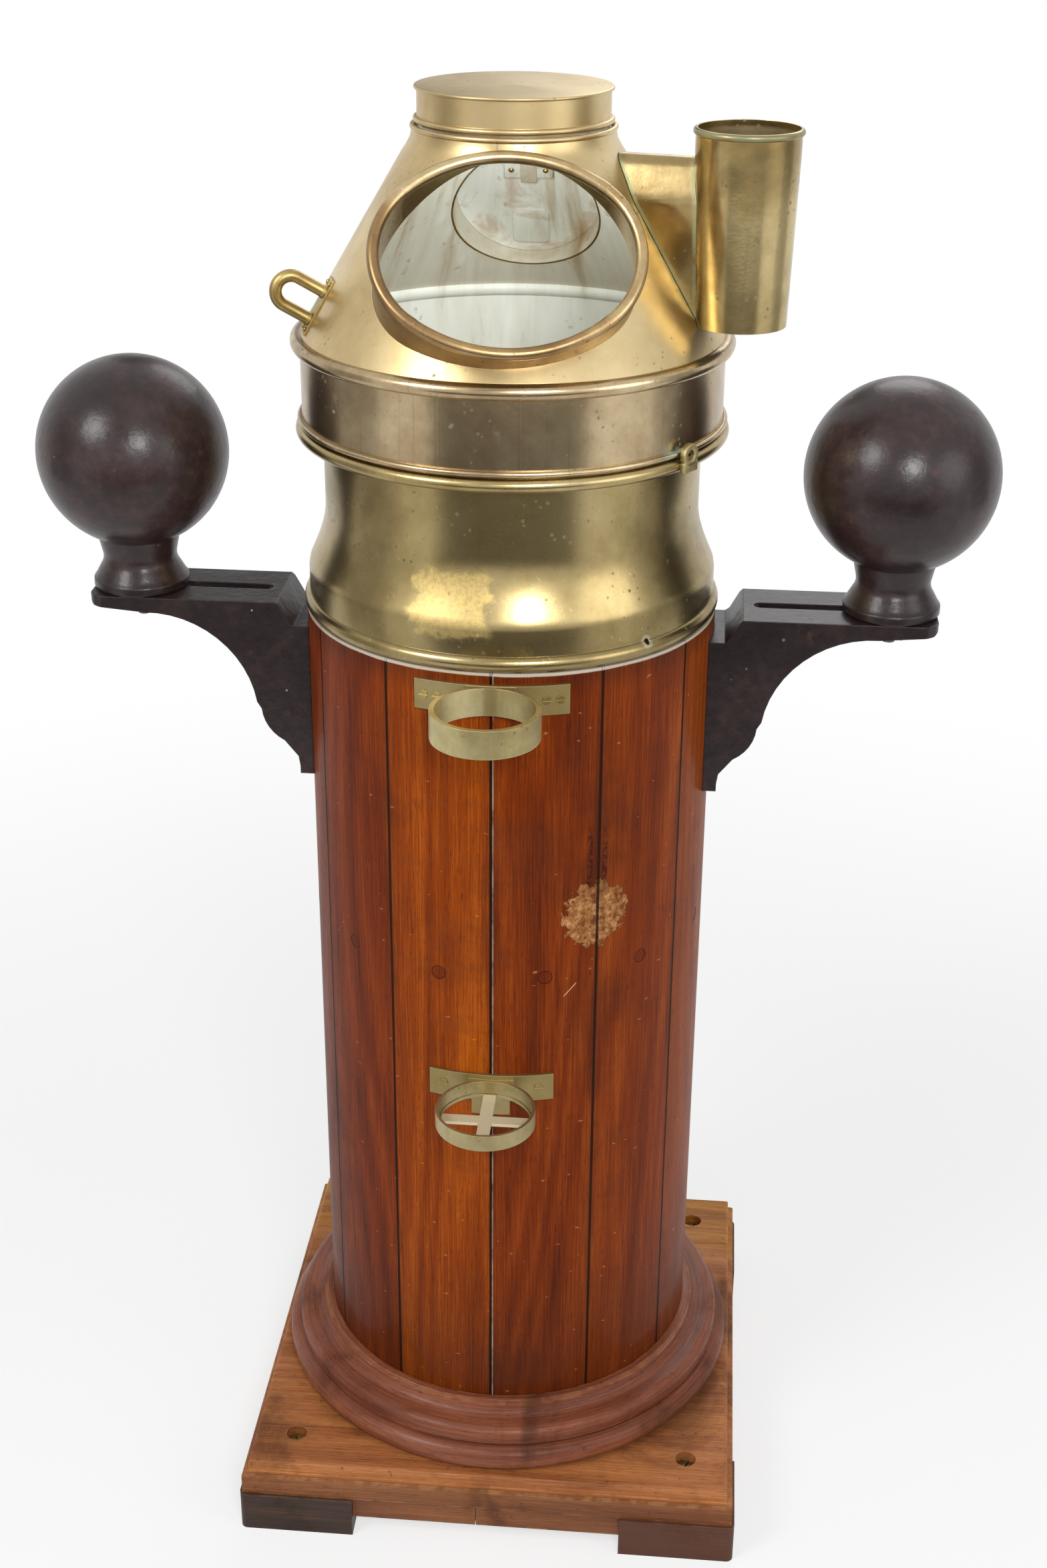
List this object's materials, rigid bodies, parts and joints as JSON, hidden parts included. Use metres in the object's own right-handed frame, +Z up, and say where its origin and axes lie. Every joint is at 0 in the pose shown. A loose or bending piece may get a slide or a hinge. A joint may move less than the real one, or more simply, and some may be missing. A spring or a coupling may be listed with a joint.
{
  "type": "ship binnacle",
  "caption": "Ship's compass pedestal: staved wooden drum, brass collar and windowed hood, side lamp tube, iron correcting spheres on slotted brackets, gimballed compass.",
  "frame": {"origin": "on the drum's upright axis, at the underside of the feet", "axes": "+Z up; the pictured front, with the window and the bar rings, faces -Y; +X is its right"},
  "size_m": [0.8878, 0.544, 1.407],
  "materials": {
    "stave_teak": "old varnish, red-brown",
    "base_teak": "old varnish, worn",
    "plank_teak": "old varnish, lighter",
    "foot_teak": "dark and dirty",
    "moulding_teak": "dull",
    "inner_pine": "bare wood",
    "old_brass": "greenish tarnish",
    "bracket_brass": "matt",
    "collar_brass": "lacquered, olive",
    "hood_brass": "pale, lightly polished",
    "skirt_brass": "tarnished",
    "frame_brass": "coppery",
    "lamp_brass": "dull",
    "inner_brass": "satin",
    "black_iron": "old dark paint",
    "steel": "dull",
    "magnet_steel": "painted",
    "glass": "clear",
    "card": "ivory paper face on mica"
  },
  "bodies": {
    "pedestal": {"base_board": "base_teak", "base_rear_plank": "plank_teak", "base_rails": "base_teak", "corner_feet": "foot_teak", "corner_bolts": "old_brass", "lower_moulding": "moulding_teak", "upper_moulding": "moulding_teak", "drum_formers": "inner_pine", "stave_01": "stave_teak", "stave_02": "stave_teak", "stave_03": "stave_teak", "stave_04": "stave_teak", "stave_05": "stave_teak", "stave_06": "stave_teak", "stave_07": "stave_teak", "stave_08": "stave_teak", "stave_09": "stave_teak", "stave_10": "stave_teak", "stave_11": "stave_teak", "stave_12": "stave_teak", "stave_plugs": "stave_teak", "upper_bar_bracket": "bracket_brass", "lower_bar_bracket": "bracket_brass", "bar_bracket_screws": "old_brass", "sphere_brackets": "black_iron", "sphere_bracket_screws": "steel", "collar": "collar_brass", "lock_lug": "bracket_brass", "gimbal_posts": "inner_brass", "rack_shelf": "inner_pine", "magnet_rack": "inner_pine", "corrector_magnets": "magnet_steel", "heeling_tube": "inner_brass", "door_hinges": "old_brass"},
    "hood": {"hood_cone": "hood_brass", "hood_skirt": "skirt_brass", "window_frame": "frame_brass", "hood_handle": "old_brass", "handle_plate": "old_brass", "lamp_tube": "lamp_brass", "lamp_duct": "lamp_brass", "port_ring": "lamp_brass"},
    "cap": {"top_cap": "hood_brass"},
    "port_cover": {"port_lid": "lamp_brass"},
    "gimbal": {"gimbal_ring": "inner_brass"},
    "bowl": {"compass_bowl": "inner_brass", "bowl_bezel": "inner_brass", "compass_glass": "glass", "card_pivot": "inner_brass"},
    "card": {"compass_card": "card"},
    "door": {"rear_door": "stave_teak", "door_battens": "inner_pine", "door_leaves": "old_brass"},
    "latch": {"door_latch": "old_brass"},
    "heeling_carrier": {"heeling_bucket": "inner_brass", "heeling_magnet": "magnet_steel"},
    "left_corrector": {"sphere_left": "black_iron", "sphere_stud_left": "steel"},
    "right_corrector": {"sphere_right": "black_iron", "sphere_stud_right": "steel"}
  },
  "joints": [
    {"name": "hood_lift", "type": "slide", "parent": "pedestal", "child": "hood", "axis": [0, 0, 1], "range_m": [0, 0.45]},
    {"name": "cap_lift", "type": "slide", "parent": "hood", "child": "cap", "axis": [0, 0, 1], "range_m": [0, 0.06]},
    {"name": "port_hinge", "type": "hinge", "parent": "hood", "child": "port_cover", "pos_m": [0, 0.10467, 1.34696], "axis": [1, 0, 0], "range_deg": [0, 95]},
    {"name": "gimbal_tilt", "type": "hinge", "parent": "pedestal", "child": "gimbal", "pos_m": [0, 0, 1.08], "axis": [1, 0, 0], "range_deg": [-25, 25]},
    {"name": "bowl_tilt", "type": "hinge", "parent": "gimbal", "child": "bowl", "pos_m": [0, 0, 1.08], "axis": [0, 1, 0], "range_deg": [-25, 25]},
    {"name": "card_spin", "type": "hinge", "parent": "bowl", "child": "card", "pos_m": [0, 0, 1.083], "axis": [0, 0, 1], "continuous": true},
    {"name": "door_hinge", "type": "hinge", "parent": "pedestal", "child": "door", "pos_m": [0.0985, 0.17061, 0.7815], "axis": [0, 0, -1], "range_deg": [0, 110]},
    {"name": "latch_turn", "type": "hinge", "parent": "door", "child": "latch", "pos_m": [-0.07502, 0.17674, 0.7815], "axis": [0.3907, -0.9205, 0], "range_deg": [0, 90]},
    {"name": "heeling_slide", "type": "slide", "parent": "pedestal", "child": "heeling_carrier", "axis": [0, 0, 1], "range_m": [-0.06, 0.06]},
    {"name": "left_corrector_slide", "type": "slide", "parent": "pedestal", "child": "left_corrector", "axis": [1, 0, 0], "range_m": [0, 0.068]},
    {"name": "right_corrector_slide", "type": "slide", "parent": "pedestal", "child": "right_corrector", "axis": [-1, 0, 0], "range_m": [0, 0.068]}
  ]
}
